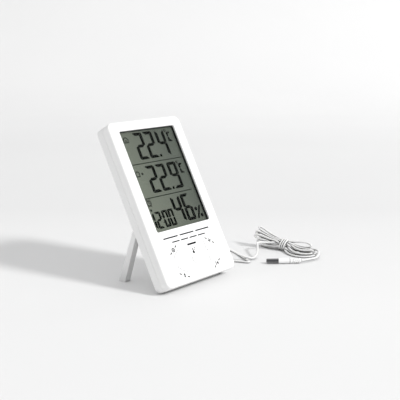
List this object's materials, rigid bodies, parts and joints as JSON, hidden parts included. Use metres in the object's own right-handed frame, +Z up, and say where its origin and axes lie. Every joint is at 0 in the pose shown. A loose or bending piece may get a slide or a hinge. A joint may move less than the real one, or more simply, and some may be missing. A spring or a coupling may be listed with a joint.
{
  "type": "maximum minimum thermometer",
  "caption": "Digital indoor and outdoor thermometer with humidity and clock: leaning white case, large display, push buttons, fold-out stand, and a probe on a tied cable.",
  "frame": {"origin": "middle of the case's lower rear edge, on the table", "axes": "+X to the right of someone facing the display, +Y away from them, +Z up; the case leans back 28.5 degrees"},
  "size_m": [0.2005, 0.1165, 0.1412],
  "materials": {
    "white_shell": "fine moulded satin, white",
    "black_frame": "matt black",
    "clear_window": "clear, polished",
    "display_glass": "grey liquid crystal display with dark segments",
    "reflector_film": "silver-grey film",
    "inner_plastic": "plain moulded",
    "contact_rubber": "striped conductive rubber",
    "board_green": "green solder resist",
    "epoxy_black": "black epoxy",
    "tinned_steel": "tinned spring steel",
    "sounder_brass": "plain brass disc",
    "sensor_white": "white vented case",
    "bead_black": "dipped black bead",
    "switch_body": "dark switch body",
    "cell_wrap": "plain dark wrap",
    "zinc_steel": "zinc plated",
    "cable_white": "white soft PVC",
    "tie_white": "white",
    "probe_plastic": "white moulded",
    "probe_metal": "dark grey metal"
  },
  "bodies": {
    "housing": {"front_shell": "white_shell", "rear_cover": "white_shell", "window_lens": "clear_window", "lens_frame": "black_frame", "display_front_glass": "display_glass", "display_rear_glass": "display_glass", "display_reflector": "reflector_film", "display_retainer": "inner_plastic", "contact_strip": "contact_rubber", "main_board": "board_green", "controller_blob": "epoxy_black", "clock_crystal": "tinned_steel", "humidity_sensor": "sensor_white", "indoor_thermistor": "bead_black", "sounder_disc": "sounder_brass", "switch_mode_body": "switch_body", "switch_adjust_body": "switch_body", "switch_memory_body": "switch_body", "switch_reset_body": "switch_body", "switch_unit_body": "switch_body", "battery_cell": "cell_wrap", "contact_plus": "tinned_steel", "contact_minus": "tinned_steel", "battery_spring": "tinned_steel", "case_screw_1": "zinc_steel", "case_screw_2": "zinc_steel", "case_screw_3": "zinc_steel", "case_screw_4": "zinc_steel", "board_screw_1": "zinc_steel", "board_screw_2": "zinc_steel", "cable_boot": "cable_white", "cable_lead": "cable_white", "cable_hank": "cable_white", "cable_tie": "tie_white", "cable_tail": "cable_white", "probe_tip": "probe_metal", "probe_sensor": "bead_black", "probe_sleeve": "probe_plastic", "probe_boot": "probe_plastic"},
    "stand": {"stand": "white_shell"},
    "battery_door": {"battery_door": "white_shell"},
    "mode_button": {"button_mode": "white_shell", "switch_mode_plunger": "epoxy_black"},
    "adjust_button": {"button_adjust": "white_shell", "switch_adjust_plunger": "epoxy_black"},
    "memory_button": {"button_memory": "white_shell", "switch_memory_plunger": "epoxy_black"},
    "reset_button": {"button_reset": "white_shell", "switch_reset_plunger": "epoxy_black"},
    "unit_button": {"button_unit": "white_shell", "switch_unit_plunger": "epoxy_black"}
  },
  "joints": [
    {"name": "stand_hinge", "type": "hinge", "parent": "housing", "child": "stand", "pos_m": [0, 0.03373, 0.04541], "axis": [1, 0, 0], "range_deg": [-47, 0]},
    {"name": "battery_door_slide", "type": "slide", "parent": "housing", "child": "battery_door", "axis": [0, -0.4768, -0.879], "range_m": [0, 0.022]},
    {"name": "mode_press", "type": "slide", "parent": "housing", "child": "mode_button", "axis": [0, 0.879, -0.4768], "range_m": [0, 0.0005], "stiffness_N_per_m": 20},
    {"name": "adjust_press", "type": "slide", "parent": "housing", "child": "adjust_button", "axis": [0, 0.879, -0.4768], "range_m": [0, 0.0005], "stiffness_N_per_m": 20},
    {"name": "memory_press", "type": "slide", "parent": "housing", "child": "memory_button", "axis": [0, 0.879, -0.4768], "range_m": [0, 0.0005], "stiffness_N_per_m": 20},
    {"name": "reset_press", "type": "slide", "parent": "housing", "child": "reset_button", "axis": [0, 0.879, -0.4768], "range_m": [0, 0.0005], "stiffness_N_per_m": 20},
    {"name": "unit_press", "type": "slide", "parent": "housing", "child": "unit_button", "axis": [0, 0.879, -0.4768], "range_m": [0, 0.0005], "stiffness_N_per_m": 20}
  ]
}
